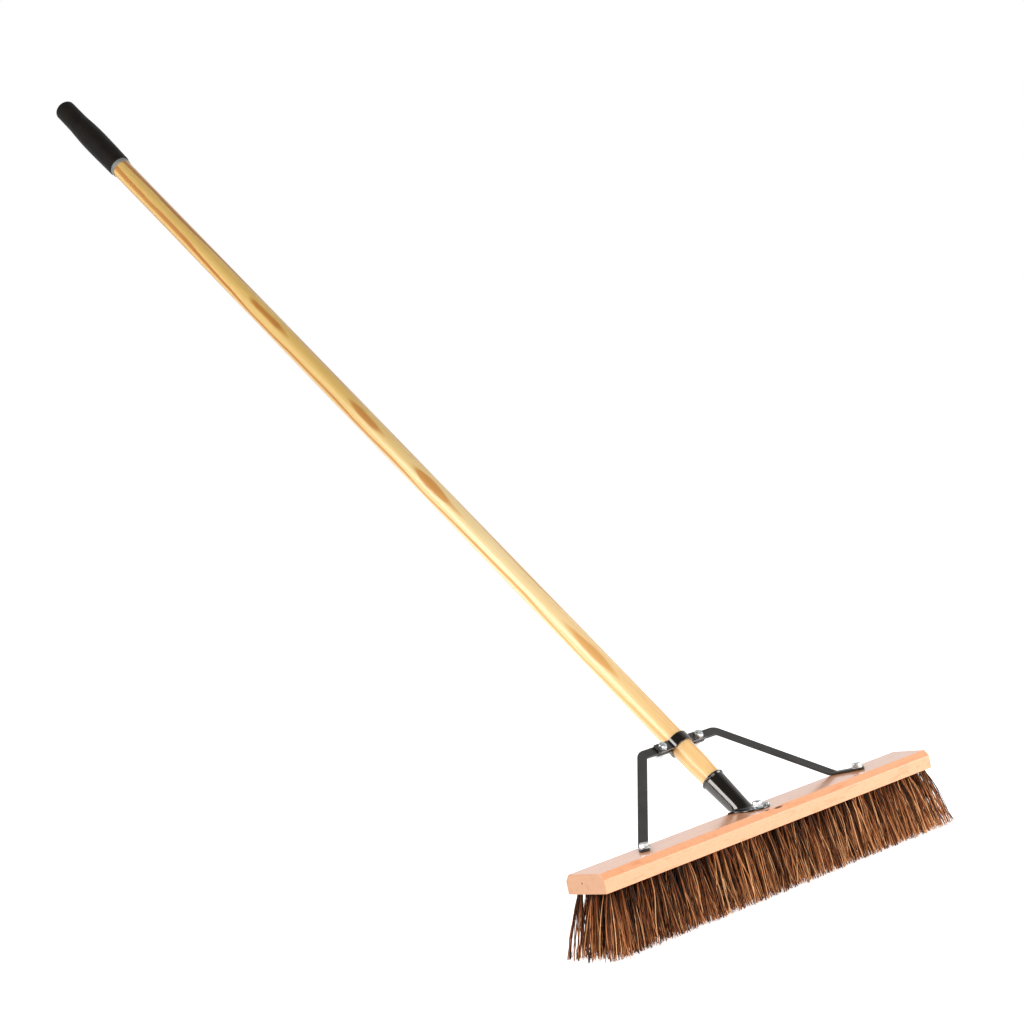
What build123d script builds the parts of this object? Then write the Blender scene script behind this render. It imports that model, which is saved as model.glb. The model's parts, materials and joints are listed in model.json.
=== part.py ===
"""Push broom: drilled hardwood block with five rows of coarse fibre tufts, a stamped steel
socket, a clamped two-legged brace and a lacquered wooden handle with a rubber grip.

Frame: millimetres, +Z up, +X along the block. The origin is on the floor under the middle
of the block, so the bristle tips stand at Z = 0. The handle leans back towards +Y."""

import os
from math import cos, radians, sin

from build123d import *

os.makedirs("parts", exist_ok=True)

# ---- Driving dimensions -------------------------------------------------------------
BLOCK_LENGTH = 610.0
BLOCK_WIDTH = 63.5
BLOCK_THICKNESS = 23.8
BLOCK_TOP_WIDTH = 51.4
BLOCK_SHOULDER_DROP = 7.6
BLOCK_EDGE_ROUND = 0.8

TRIM_LENGTH = 76.2
TUFTS_IN_LONG_ROW = 37
TUFT_PITCH = 16.2
ROW_PITCH = 11.75
ROW_FAN = 1.42
END_FLARE = 20.0
END_FLARE_POWER = 8
TUFT_ROOT_RADIUS = 3.9
TUFT_TIP_RADIUS = 7.5
TUFT_PLUG_LENGTH = 10.4
TUFT_STRAIGHT = 1.3
HOLE_RADIUS = 4.0
HOLE_DEPTH = 12.0
STAPLE = (6.4, 0.6, 1.2)

HANDLE_ANGLE = 45.75
HANDLE_FOOT_Y = 24.9
HANDLE_RADIUS = 14.3
HANDLE_TIP_RADIUS = 10.9
HANDLE_START = 16.0
TAPER_END = 82.0
HANDLE_END = 1567.0
HANDLE_CLEARANCE = 0.3

SOCKET_WALL = 1.8
SOCKET_RIM = 56.0
SOCKET_RIM_HEIGHT = 3.2
SOCKET_RIM_BEAD = 1.0
PLATE_RADIUS = 21.5
PLATE_CENTRE_Y = 6.0
PLATE_REAR_Y = 23.0
PLATE_REAR_HALF = 29.0
PLATE_FLARE_Y = 15.0
PLATE_THICKNESS = 2.4

STRAP_THICKNESS = 2.4
STRAP_WIDTH = 14.0
STRAP_REACH = 44.5
CLAMP_POSITION = 120.5
CLAMP_BOLT_X = 33.5

BAR_WIDTH = 12.7
BAR_THICKNESS = 3.2
LEG_INNER_X = 23.0
LEG_BEND_X = 68.0
LEG_FOLD_X = 180.0
LEG_BEND_RADIUS = 12.0
FOOT_LENGTH = 41.0
FOOT_SCREW_REACH = 30.0
BAR_HOLE_RADIUS = 3.4

SHANK_RADIUS = 3.1
HEX_FLATS = 11.1
WASHER_RADIUS = 7.6
WASHER_THICKNESS = 1.4
SOCKET_BOLT_Y = -2.5
SOCKET_SCREW_X = 13.0
SOCKET_SCREW_Y = -4.0
PAN_HEAD_RADIUS = 5.0
PAN_HEAD_HEIGHT = 3.2
SCREW_BITE = 11.0
PILOT_GAP = 0.05

COLLAR_START = 1408.0
COLLAR_LENGTH = 7.0
COLLAR_RADIUS = 15.6
GRIP_END = 1575.0
GRIP_START_RADIUS = 16.8
GRIP_BELLY_RADIUS = 18.0
GRIP_TIP_RADIUS = 15.6
GRIP_TIP_CYLINDER = 34.0
GRIP_DOME = 9.0

# ---- Worked-out places --------------------------------------------------------------
TOP = TRIM_LENGTH + BLOCK_THICKNESS
ANGLE = radians(HANDLE_ANGLE)
ALONG = Vector(0, cos(ANGLE), sin(ANGLE))
FRONT = Vector(0, -sin(ANGLE), cos(ANGLE))
HANDLE_FOOT = Vector(0, HANDLE_FOOT_Y, TOP)
# Local x is across the broom, local y runs up the handle, the normal faces the front.
HANDLE_PLANE = Plane(origin=HANDLE_FOOT, x_dir=(1, 0, 0), z_dir=FRONT)
HANDLE_AXIS = Axis(HANDLE_FOOT, ALONG)
# Square to the handle at the clamp: local x across, local y to the front.
CLAMP_PLANE = Plane(origin=HANDLE_FOOT + ALONG * CLAMP_POSITION, x_dir=(1, 0, 0), z_dir=-ALONG)


def finish(part, label):
    """Name a finished piece and write it to its own STEP file."""
    part.label = label
    export_step(part, f"parts/{label}.step")


def handle_radius(s):
    """Radius of the wooden handle at distance s up its axis."""
    share = min(1.0, (s - HANDLE_START) / (TAPER_END - HANDLE_START))
    return HANDLE_TIP_RADIUS + (HANDLE_RADIUS - HANDLE_TIP_RADIUS) * share


def tuft_places(row):
    """Hole centre and tip centre of each tuft of one row, as a list of pairs of (x, y)."""
    count = TUFTS_IN_LONG_ROW - row % 2
    reach = TUFT_PITCH * (TUFTS_IN_LONG_ROW - 1) / 2
    y = (row - 2) * ROW_PITCH
    places = []
    for i in range(count):
        x = (i - (count - 1) / 2) * TUFT_PITCH
        flare = END_FLARE * (abs(x) / reach) ** END_FLARE_POWER
        tip_x = x + flare if x > 0 else x - flare
        places.append(((x, y), (tip_x, y * ROW_FAN)))
    return places


def tuft(hole, tip):
    """One tuft: a straight plug in its hole, then a slanting cone that flares to the floor."""
    with BuildPart() as bundle:
        for height in (TRIM_LENGTH + TUFT_PLUG_LENGTH, TRIM_LENGTH - TUFT_STRAIGHT):
            with BuildSketch(Plane.XY.offset(height)):
                with Locations(hole):
                    Circle(TUFT_ROOT_RADIUS)
        with BuildSketch(Plane.XY):
            with Locations(tip):
                Circle(TUFT_TIP_RADIUS)
        loft(ruled=True)
    return bundle.part.solid()


# ---- Block --------------------------------------------------------------------------
SCREW_SPOTS = [(0, SOCKET_BOLT_Y), (SOCKET_SCREW_X, SOCKET_SCREW_Y)]
leg_lean = (LEG_FOLD_X - LEG_BEND_X) / CLAMP_POSITION
foot_turn = Vector(leg_lean, -1).normalized()
front_fold_s = BAR_THICKNESS * (1 - cos(ANGLE)) / sin(ANGLE)
foot_start = Vector(
    LEG_FOLD_X - leg_lean * front_fold_s,
    HANDLE_FOOT_Y + front_fold_s * cos(ANGLE) - BAR_THICKNESS * sin(ANGLE),
)
foot_screw = foot_start + foot_turn * FOOT_SCREW_REACH
SCREW_SPOTS += [(side * foot_screw.X, foot_screw.Y) for side in (-1, 1)]

ALL_TUFTS = [tuft_places(row) for row in range(5)]
TUFT_HOLES = [[(x, y, TRIM_LENGTH) for (x, y), tip in places] for places in ALL_TUFTS]

with BuildPart() as broom_block:
    with BuildSketch(Plane.YZ.offset(-BLOCK_LENGTH / 2)):
        with BuildLine():
            Polyline(
                (-BLOCK_WIDTH / 2, TRIM_LENGTH),
                (BLOCK_WIDTH / 2, TRIM_LENGTH),
                (BLOCK_WIDTH / 2, TOP - BLOCK_SHOULDER_DROP),
                (BLOCK_TOP_WIDTH / 2, TOP),
                (-BLOCK_TOP_WIDTH / 2, TOP),
                (-BLOCK_WIDTH / 2, TOP - BLOCK_SHOULDER_DROP),
                close=True,
            )
        make_face()
    extrude(amount=BLOCK_LENGTH)
    fillet(broom_block.edges(), radius=BLOCK_EDGE_ROUND)
    for spots in TUFT_HOLES:
        with Locations(*spots):
            Cylinder(
                HOLE_RADIUS,
                HOLE_DEPTH,
                align=(Align.CENTER, Align.CENTER, Align.MIN),
                mode=Mode.SUBTRACT,
            )
    with Locations(*[(x, y, TOP) for x, y in SCREW_SPOTS]):
        Cylinder(
            SHANK_RADIUS + PILOT_GAP,
            SCREW_BITE + 0.5,
            align=(Align.CENTER, Align.CENTER, Align.MAX),
            mode=Mode.SUBTRACT,
        )
finish(broom_block.part, "broom_block")

# ---- Tufts and the flat wire anchors that hold them ---------------------------------
for row, places in enumerate(ALL_TUFTS):
    finish(Compound([tuft(hole, tip) for hole, tip in places]), f"tuft_row_{row + 1}")

with BuildPart() as tuft_staples:
    for spots in TUFT_HOLES:
        with Locations(*[(x, y, z + TUFT_PLUG_LENGTH + 0.1) for x, y, z in spots]):
            Box(*STAPLE, align=(Align.CENTER, Align.CENTER, Align.MIN))
finish(tuft_staples.part, "tuft_staples")

# ---- Handle, grip and collar --------------------------------------------------------
with BuildPart() as handle:
    with BuildSketch(HANDLE_PLANE):
        with BuildLine():
            Polyline(
                (0, HANDLE_START),
                (HANDLE_TIP_RADIUS, HANDLE_START),
                (HANDLE_RADIUS, TAPER_END),
                (HANDLE_RADIUS, HANDLE_END),
                (0, HANDLE_END),
                close=True,
            )
        make_face()
    revolve(axis=HANDLE_AXIS)
finish(handle.part, "handle")

with BuildPart() as grip_collar:
    with BuildSketch(HANDLE_PLANE):
        with BuildLine():
            Polyline(
                (HANDLE_RADIUS, COLLAR_START),
                (COLLAR_RADIUS, COLLAR_START),
                (COLLAR_RADIUS, COLLAR_START + COLLAR_LENGTH),
                (HANDLE_RADIUS, COLLAR_START + COLLAR_LENGTH),
                close=True,
            )
        make_face()
    revolve(axis=HANDLE_AXIS)
    outer = grip_collar.edges().filter_by(GeomType.CIRCLE).group_by(SortBy.RADIUS)[-1]
    fillet(outer, radius=0.5)
finish(grip_collar.part, "grip_collar")

GRIP_BOTTOM = COLLAR_START + COLLAR_LENGTH
DOME_START = GRIP_END - GRIP_DOME
CYLINDER_START = DOME_START - GRIP_TIP_CYLINDER
GRIP_BELLY_S = (GRIP_BOTTOM + CYLINDER_START) / 2 + 12
with BuildPart() as handle_grip:
    with BuildSketch(HANDLE_PLANE):
        with BuildLine():
            Line((0, GRIP_BOTTOM), (GRIP_START_RADIUS, GRIP_BOTTOM))
            ThreePointArc(
                (GRIP_START_RADIUS, GRIP_BOTTOM),
                (GRIP_BELLY_RADIUS, GRIP_BELLY_S),
                (GRIP_TIP_RADIUS, CYLINDER_START),
            )
            Line((GRIP_TIP_RADIUS, CYLINDER_START), (GRIP_TIP_RADIUS, DOME_START))
            Bezier(
                (GRIP_TIP_RADIUS, DOME_START),
                (GRIP_TIP_RADIUS, DOME_START + GRIP_DOME * 0.55),
                (GRIP_TIP_RADIUS * 0.58, GRIP_END),
                (0, GRIP_END),
            )
            Line((0, GRIP_END), (0, GRIP_BOTTOM))
        make_face()
    revolve(axis=HANDLE_AXIS)
    with BuildSketch(Plane(HANDLE_FOOT + ALONG * GRIP_BOTTOM, z_dir=ALONG)):
        Circle(HANDLE_RADIUS)
    extrude(amount=HANDLE_END - GRIP_BOTTOM, mode=Mode.SUBTRACT)
finish(handle_grip.part, "handle_grip")

# ---- Socket: tapered tube with a rolled rim, stamped in one with its base plate ------
inside_foot = handle_radius(HANDLE_START) + HANDLE_CLEARANCE
inside_rim = handle_radius(SOCKET_RIM) + HANDLE_CLEARANCE
bead = inside_rim + SOCKET_WALL + SOCKET_RIM_BEAD
with BuildPart() as handle_socket:
    with BuildSketch(HANDLE_PLANE):
        with BuildLine():
            Polyline(
                (0, -40),
                (inside_foot + SOCKET_WALL, -40),
                (inside_foot + SOCKET_WALL, 0),
                (inside_rim + SOCKET_WALL, SOCKET_RIM - SOCKET_RIM_HEIGHT - 1),
                (bead, SOCKET_RIM - SOCKET_RIM_HEIGHT),
                (bead, SOCKET_RIM),
                (0, SOCKET_RIM),
                close=True,
            )
        make_face()
    revolve(axis=HANDLE_AXIS)
    with Locations((0, 0, TOP)):
        Box(
            200,
            200,
            200,
            align=(Align.CENTER, Align.CENTER, Align.MAX),
            mode=Mode.SUBTRACT,
        )
    with BuildSketch(Plane.XY.offset(TOP)):
        with BuildLine():
            front = ThreePointArc(
                (-PLATE_RADIUS, PLATE_CENTRE_Y),
                (0, PLATE_CENTRE_Y - PLATE_RADIUS),
                (PLATE_RADIUS, PLATE_CENTRE_Y),
            )
            Polyline(
                front @ 1,
                (PLATE_RADIUS, PLATE_FLARE_Y),
                (PLATE_REAR_HALF, PLATE_REAR_Y),
                (-PLATE_REAR_HALF, PLATE_REAR_Y),
                (-PLATE_RADIUS, PLATE_FLARE_Y),
                front @ 0,
            )
        make_face()
    extrude(amount=PLATE_THICKNESS)
    with BuildSketch(HANDLE_PLANE):
        with BuildLine():
            Polyline(
                (0, HANDLE_START - 4),
                (inside_foot, HANDLE_START - 4),
                (inside_foot, HANDLE_START),
                (inside_rim, SOCKET_RIM),
                (inside_rim, SOCKET_RIM + 1),
                (0, SOCKET_RIM + 1),
                close=True,
            )
        make_face()
    revolve(axis=HANDLE_AXIS, mode=Mode.SUBTRACT)
    with Locations(*[(x, y, TOP) for x, y in SCREW_SPOTS[:2]]):
        Cylinder(
            SHANK_RADIUS + PILOT_GAP,
            PLATE_THICKNESS * 3,
            mode=Mode.SUBTRACT,
        )
finish(handle_socket.part, "handle_socket")

# ---- Clamp straps -------------------------------------------------------------------
strap_inside = HANDLE_RADIUS + HANDLE_CLEARANCE
strap_outside = strap_inside + STRAP_THICKNESS


def clamp_strap(ear_low, facing, label):
    """Half-round strap with two flat ears; facing is +1 for the front half, -1 for the rear."""
    ear_middle = ear_low + facing * STRAP_THICKNESS / 2
    with BuildPart() as strap:
        with BuildSketch(CLAMP_PLANE):
            Circle(strap_outside)
            with Locations((0, ear_middle)):
                Rectangle(2 * STRAP_REACH, STRAP_THICKNESS)
            Circle(strap_inside, mode=Mode.SUBTRACT)
            with Locations((0, ear_low - facing * 2 * strap_outside)):
                Rectangle(4 * STRAP_REACH, 4 * strap_outside, mode=Mode.SUBTRACT)
        extrude(amount=STRAP_WIDTH / 2, both=True)
        ends = strap.edges().filter_by(Axis((0, 0, 0), FRONT))
        outer_ends = ends.group_by(Axis.X)[0] + ends.group_by(Axis.X)[-1]
        fillet(outer_ends, radius=3.5)
        bolt_plane = Plane(
            origin=HANDLE_FOOT + ALONG * CLAMP_POSITION, x_dir=(1, 0, 0), z_dir=FRONT
        )
        with Locations(bolt_plane):
            with Locations((-CLAMP_BOLT_X, 0, 0), (CLAMP_BOLT_X, 0, 0)):
                Cylinder(SHANK_RADIUS + PILOT_GAP, 4 * strap_outside, mode=Mode.SUBTRACT)
    finish(strap.part, label)


clamp_strap(BAR_THICKNESS, 1, "clamp_front")
clamp_strap(0.0, -1, "clamp_rear")

# ---- Brace legs: flat bar, bent in its own plane, folded flat onto the block ---------
SIDES = {"left": -1, "right": 1}
for side, sign in SIDES.items():
    with BuildPart() as leg:
        with BuildSketch(HANDLE_PLANE):
            with BuildLine():
                FilletPolyline(
                    (sign * LEG_INNER_X, CLAMP_POSITION),
                    (sign * LEG_BEND_X, CLAMP_POSITION),
                    (sign * (LEG_FOLD_X + leg_lean * 12), -12),
                    radius=LEG_BEND_RADIUS,
                )
            trace(line_width=BAR_WIDTH)
        extrude(amount=BAR_THICKNESS)
        with Locations((0, 0, TOP)):
            Box(
                2 * BLOCK_LENGTH,
                4 * BLOCK_WIDTH,
                BLOCK_WIDTH,
                align=(Align.CENTER, Align.CENTER, Align.MAX),
                mode=Mode.SUBTRACT,
            )
        heel = foot_start - foot_turn * 2
        toe = foot_start + foot_turn * FOOT_LENGTH
        with BuildSketch(Plane.XY.offset(TOP)):
            with BuildLine():
                Line((sign * heel.X, heel.Y), (sign * toe.X, toe.Y))
            trace(line_width=BAR_WIDTH)
            with Locations((0, foot_start.Y + BLOCK_WIDTH / 2)):
                Rectangle(2 * BLOCK_LENGTH, BLOCK_WIDTH, mode=Mode.SUBTRACT)
        extrude(amount=BAR_THICKNESS)
        toe_corners = leg.edges().filter_by(Axis.Z).group_by(Axis.Y)[0]
        toe_corners += leg.edges().filter_by(Axis.Z).group_by(Axis.Y)[1]
        fillet(toe_corners, radius=2.5)
        with Locations((sign * foot_screw.X, foot_screw.Y, TOP)):
            Cylinder(BAR_HOLE_RADIUS, 4 * BAR_THICKNESS, mode=Mode.SUBTRACT)
        with Locations(HANDLE_PLANE):
            with Locations((sign * CLAMP_BOLT_X, CLAMP_POSITION, 0)):
                Cylinder(BAR_HOLE_RADIUS, 4 * BAR_THICKNESS, mode=Mode.SUBTRACT)
    finish(leg.part, f"leg_{side}")


# ---- Fasteners ----------------------------------------------------------------------
def washer(seat, hole, label):
    """Flat washer lying on the seat plane."""
    with BuildPart() as piece:
        with BuildSketch(seat):
            Circle(WASHER_RADIUS)
            Circle(hole, mode=Mode.SUBTRACT)
        extrude(amount=WASHER_THICKNESS)
        circles = piece.edges().filter_by(GeomType.CIRCLE)
        outer_edges = circles.group_by(SortBy.RADIUS)[-1]
        fillet(outer_edges, radius=0.3)
    finish(piece.part, label)


def hex_bolt(seat, head_height, shank_length, label):
    """Hexagon head with a rounded crown on the seat plane and a plain shank below it."""
    with BuildPart() as piece:
        with BuildSketch(seat):
            RegularPolygon(HEX_FLATS / 2, 6, major_radius=False)
        extrude(amount=head_height)
        with BuildSketch(seat):
            Circle(HEX_FLATS * 0.56)
        extrude(amount=head_height, mode=Mode.INTERSECT)
        crown = piece.faces().sort_by(Axis(seat.origin, seat.z_dir))[-1].edges()
        chamfer(crown, length=0.9)
        with BuildSketch(seat):
            Circle(SHANK_RADIUS)
        extrude(amount=-shank_length)
    finish(piece.part, label)


BOLT_HEAD = 5.0
CLAMP_BOLT_LENGTH = 17.0
NUT_HEIGHT = 5.5
bolt_seat = Plane(origin=(0, SOCKET_BOLT_Y, TOP + PLATE_THICKNESS), z_dir=(0, 0, 1))
washer(bolt_seat, SHANK_RADIUS, "socket_bolt_washer")
socket_bolt_shank = SCREW_BITE + PLATE_THICKNESS + WASHER_THICKNESS
hex_bolt(bolt_seat.offset(WASHER_THICKNESS), BOLT_HEAD + 1.5, socket_bolt_shank, "socket_bolt")

with BuildPart() as socket_screw:
    screw_seat = Plane(
        origin=(SOCKET_SCREW_X, SOCKET_SCREW_Y, TOP + PLATE_THICKNESS), z_dir=(0, 0, 1)
    )
    with BuildSketch(screw_seat):
        Circle(PAN_HEAD_RADIUS)
    extrude(amount=PAN_HEAD_HEIGHT)
    fillet(socket_screw.faces().sort_by(Axis.Z)[-1].edges(), radius=1.8)
    with BuildSketch(screw_seat):
        Circle(SHANK_RADIUS)
    extrude(amount=-SCREW_BITE - PLATE_THICKNESS)
finish(socket_screw.part, "socket_screw")

for side, sign in SIDES.items():
    foot_seat = Plane(
        origin=(sign * foot_screw.X, foot_screw.Y, TOP + BAR_THICKNESS), z_dir=(0, 0, 1)
    )
    washer(foot_seat, SHANK_RADIUS, f"foot_washer_{side}")
    foot_shank = SCREW_BITE + BAR_THICKNESS + WASHER_THICKNESS
    hex_bolt(foot_seat.offset(WASHER_THICKNESS), BOLT_HEAD, foot_shank, f"foot_screw_{side}")

    clamp_bolt_centre = HANDLE_PLANE.from_local_coords(
        Vector(sign * CLAMP_BOLT_X, CLAMP_POSITION, 0)
    )
    head_seat = Plane(
        origin=clamp_bolt_centre + FRONT * (BAR_THICKNESS + STRAP_THICKNESS),
        x_dir=(1, 0, 0),
        z_dir=FRONT,
    )
    hex_bolt(head_seat, BOLT_HEAD, CLAMP_BOLT_LENGTH, f"clamp_bolt_{side}")
    washer_seat = Plane(
        origin=clamp_bolt_centre - FRONT * STRAP_THICKNESS, x_dir=(1, 0, 0), z_dir=-FRONT
    )
    with BuildPart() as clamp_washer:
        with BuildSketch(washer_seat):
            Circle(WASHER_RADIUS - 1)
            Circle(SHANK_RADIUS, mode=Mode.SUBTRACT)
        extrude(amount=WASHER_THICKNESS)
    finish(clamp_washer.part, f"clamp_washer_{side}")
    with BuildPart() as clamp_nut:
        with BuildSketch(washer_seat.offset(WASHER_THICKNESS)):
            RegularPolygon(HEX_FLATS / 2, 6, major_radius=False)
            Circle(SHANK_RADIUS, mode=Mode.SUBTRACT)
        extrude(amount=NUT_HEIGHT)
    finish(clamp_nut.part, f"clamp_nut_{side}")
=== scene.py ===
# %% [markdown]
# # A push broom, piece by piece
#
# A push broom is a plank full of bristles with a long handle. What makes it look real is
# small: the streaks in the pine handle, the flare of each tuft, the folded brace legs and
# the soft shine of zinc screws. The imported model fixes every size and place. This script
# only adds the surfaces and the finishes, so it starts by loading that model.

import json
from math import atan2, cos, pi, radians, sin, tan

import bmesh
import bpy
import numpy as np
from mathutils import Matrix, Vector


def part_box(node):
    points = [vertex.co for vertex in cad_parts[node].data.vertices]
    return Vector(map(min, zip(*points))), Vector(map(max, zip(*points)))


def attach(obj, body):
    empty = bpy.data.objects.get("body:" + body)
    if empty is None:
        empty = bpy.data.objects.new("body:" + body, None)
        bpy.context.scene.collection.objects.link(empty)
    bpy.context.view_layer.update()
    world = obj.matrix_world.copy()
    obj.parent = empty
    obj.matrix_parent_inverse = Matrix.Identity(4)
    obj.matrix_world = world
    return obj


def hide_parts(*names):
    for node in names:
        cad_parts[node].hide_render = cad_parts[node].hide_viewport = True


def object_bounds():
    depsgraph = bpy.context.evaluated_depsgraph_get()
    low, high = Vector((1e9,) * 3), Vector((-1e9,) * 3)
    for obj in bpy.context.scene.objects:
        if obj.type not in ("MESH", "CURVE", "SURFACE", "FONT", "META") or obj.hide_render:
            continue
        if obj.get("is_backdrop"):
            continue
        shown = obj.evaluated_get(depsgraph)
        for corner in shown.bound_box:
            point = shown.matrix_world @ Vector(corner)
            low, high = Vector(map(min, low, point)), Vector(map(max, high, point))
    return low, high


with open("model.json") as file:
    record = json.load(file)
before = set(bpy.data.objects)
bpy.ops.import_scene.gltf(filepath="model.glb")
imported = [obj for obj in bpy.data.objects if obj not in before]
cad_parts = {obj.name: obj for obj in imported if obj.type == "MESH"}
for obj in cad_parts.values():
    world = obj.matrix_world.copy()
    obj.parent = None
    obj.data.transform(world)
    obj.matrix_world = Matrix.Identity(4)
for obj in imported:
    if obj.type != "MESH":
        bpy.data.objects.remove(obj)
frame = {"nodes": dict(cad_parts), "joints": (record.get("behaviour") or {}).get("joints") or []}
cad_low, cad_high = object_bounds()
nodes = frame["nodes"]
HEAD, HANDLE = "brush_head", "handle_assembly"

# %% [markdown]
# ## Where things are
#
# The handle slides along one line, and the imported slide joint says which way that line
# runs. Three directions follow from it: across the broom, up the handle, and out of the
# handle's front. They start at the foot, where the handle's line meets the top of the
# block. Every part near the handle is laid out in those three, so nothing has to be turned
# into place afterwards.

# %% The handle's own directions
MM = 0.001
ALONG = np.array(frame["joints"][0]["axis"], float)
ACROSS = np.array([1.0, 0.0, 0.0])
FRONT = np.cross(ACROSS, ALONG)
LEAN = atan2(ALONG[2], ALONG[1])
block_low, block_high = (np.array(corner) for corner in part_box("broom_block"))
BLOCK_TOP = block_high[2]
BLOCK_BOTTOM = block_low[2]
FOOT_BEHIND_MIDDLE = 24.9
FOOT = np.array([0.0, FOOT_BEHIND_MIDDLE * MM, BLOCK_TOP])
print("handle leans at", round(np.degrees(LEAN), 2), "degrees, block top at", round(BLOCK_TOP, 4))


def on_handle(across, along, front):
    """Points from handle coordinates: foot + across*X + along*(up the handle) + front*(out)."""
    across, along, front = np.broadcast_arrays(across, along, front)
    return FOOT + across[..., None] * ACROSS + along[..., None] * ALONG + front[..., None] * FRONT


# %% [markdown]
# ## The camera
#
# The broom is seen from its front left, from about 3.2 m with a long lens, and the camera
# is rolled a little, which is what sets the block on its slant. A look direction is an
# azimuth and an elevation, and the roll turns the picture about it.

# %% Camera
CAMERA_PLACE = Vector((-2.3582, -2.2198, BLOCK_TOP + 0.5292))
CAMERA_AZIMUTH = radians(47.159)
CAMERA_ELEVATION = radians(-2.0)
CAMERA_ROLL = radians(-11.666)
CAMERA_LENS = 93.27

forward = Vector((
    cos(CAMERA_ELEVATION) * cos(CAMERA_AZIMUTH),
    cos(CAMERA_ELEVATION) * sin(CAMERA_AZIMUTH),
    sin(CAMERA_ELEVATION),
))
level = forward.cross(Vector((0, 0, 1))).normalized()
upright = level.cross(forward)
right = level * cos(CAMERA_ROLL) + upright * sin(CAMERA_ROLL)
up = right.cross(forward)
camera_data = bpy.data.cameras.new("camera")
camera_data.lens = CAMERA_LENS
camera_data.sensor_width = 36
camera_data.clip_end = 100
camera = bpy.data.objects.new("camera", camera_data)
camera_turn = Matrix((right, up, -forward)).transposed().to_4x4()
camera.matrix_world = Matrix.Translation(CAMERA_PLACE) @ camera_turn
bpy.context.scene.collection.objects.link(camera)
bpy.context.scene.camera = camera

# %% [markdown]
# ## Making a mesh from a grid of points
#
# Nearly every piece here is a grid: rows along the piece, columns around it. One helper
# turns a grid into quads, joins the last column to the first, and either closes the two
# ends with a face or joins the last row to the first, as on a ring. The indices are
# worked out as whole arrays.


# %% Grid helpers
def add_mesh(name, points, faces, smooth_below=35.0):
    """New object from points and faces, with faces turned outwards and only sharp edges hard."""
    mesh = bpy.data.meshes.new(name)
    mesh.from_pydata(points.reshape(-1, 3).tolist(), [], faces)
    shape = bmesh.new()
    shape.from_mesh(mesh)
    bmesh.ops.recalc_face_normals(shape, faces=shape.faces)
    shape.to_mesh(mesh)
    shape.free()
    mesh.shade_smooth()
    mesh.set_sharp_from_angle(angle=radians(smooth_below))
    piece = bpy.data.objects.new(name, mesh)
    bpy.context.scene.collection.objects.link(piece)
    return piece


def grid_faces(rows, columns, ring=False, start=0):
    """Quads of a grid whose columns wrap round. With ring, the rows wrap too; if not, the
    first and last rows become end faces."""
    index = np.arange(rows * columns).reshape(rows, columns) + start
    lower = index if ring else index[:-1]
    upper = np.roll(index, -1, axis=0) if ring else index[1:]
    quads = np.stack([lower, np.roll(lower, -1, 1), np.roll(upper, -1, 1), upper], -1)
    faces = quads.reshape(-1, 4).tolist()
    if not ring:
        faces += [index[0][::-1].tolist(), index[-1].tolist()]
    return faces


def grid_piece(name, points, ring=False, smooth_below=35.0):
    """A piece from a grid of points, rows by columns."""
    rows, columns = points.shape[:2]
    return add_mesh(name, points, grid_faces(rows, columns, ring), smooth_below)


def turned(profile, columns=96):
    """Grid of a shape turned on the handle's axis: each (radius, along) of the profile makes
    a circle, radius*cos(angle) across and radius*sin(angle) to the front."""
    angle = np.linspace(0, 2 * pi, columns, endpoint=False)
    radius, along = (np.array(profile, float) * MM).T[:, :, None]
    return on_handle(radius * np.cos(angle), along + 0 * angle, radius * np.sin(angle))


def finish_piece(piece, body, replaced, material):
    """Give a piece its material and body, and let it stand for its CAD nodes."""
    piece.data.materials.append(material)
    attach(piece, body)
    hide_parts(*replaced)
    print(piece.name, "faces", len(piece.data.polygons))


# %% [markdown]
# ## Shader helpers
#
# A material is a small network of nodes: `wire` makes a node, `connect` sets or links its
# inputs. The effects that several finishes share are node groups with named inputs: fine
# speckle and long streaks. A group only puts out a mask, which `effect` gives back; the
# shader itself stays in the material.


# %% Node helpers
def connect(tree, node, inputs):
    """Set or link each named or numbered input of a node."""
    for key, value in inputs.items():
        socket = node.inputs[key]
        if isinstance(value, bpy.types.NodeSocket):
            tree.links.new(value, socket)
        else:
            socket.default_value = value


def wire(tree, kind, inputs=None, **settings):
    """Add a node, set its properties, then its inputs."""
    node = tree.nodes.new(kind)
    for key, value in settings.items():
        setattr(node, key, value)
    connect(tree, node, inputs or {})
    return node


def math_node(tree, operation, first, second=0.0, third=0.0, clamp=False):
    """Output of a Math node on up to three values or sockets."""
    inputs = {0: first, 1: second, 2: third}
    return wire(tree, "ShaderNodeMath", inputs, operation=operation, use_clamp=clamp).outputs[0]


def vector_node(tree, operation, *values):
    """Output of a Vector Math node: a number for a length or a dot product, else a vector."""
    node = wire(tree, "ShaderNodeVectorMath", dict(enumerate(values)), operation=operation)
    return node.outputs["Value" if operation in ("LENGTH", "DOT_PRODUCT") else "Vector"]


def ramp(tree, factor, stops):
    """Output of a colour ramp; stops are (position, colour) or (position, grey)."""
    node = wire(tree, "ShaderNodeValToRGB", {"Fac": factor})
    elements = node.color_ramp.elements
    while len(elements) < len(stops):
        elements.new(1.0)
    for element, (position, colour) in zip(elements, stops):
        element.position = position
        element.color = (*colour, 1.0) if isinstance(colour, tuple) else (colour, colour, colour, 1.0)
    return node.outputs["Color"]


def mix_colour(tree, factor, first, second, blend="MIX"):
    """Output of a colour mix; each colour is a socket or an (r, g, b) triple."""
    first, second = ((*c, 1.0) if isinstance(c, tuple) else c for c in (first, second))
    inputs = {"Factor": factor, 6: first, 7: second}
    return wire(tree, "ShaderNodeMix", inputs, data_type="RGBA", blend_type=blend).outputs[2]


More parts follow.
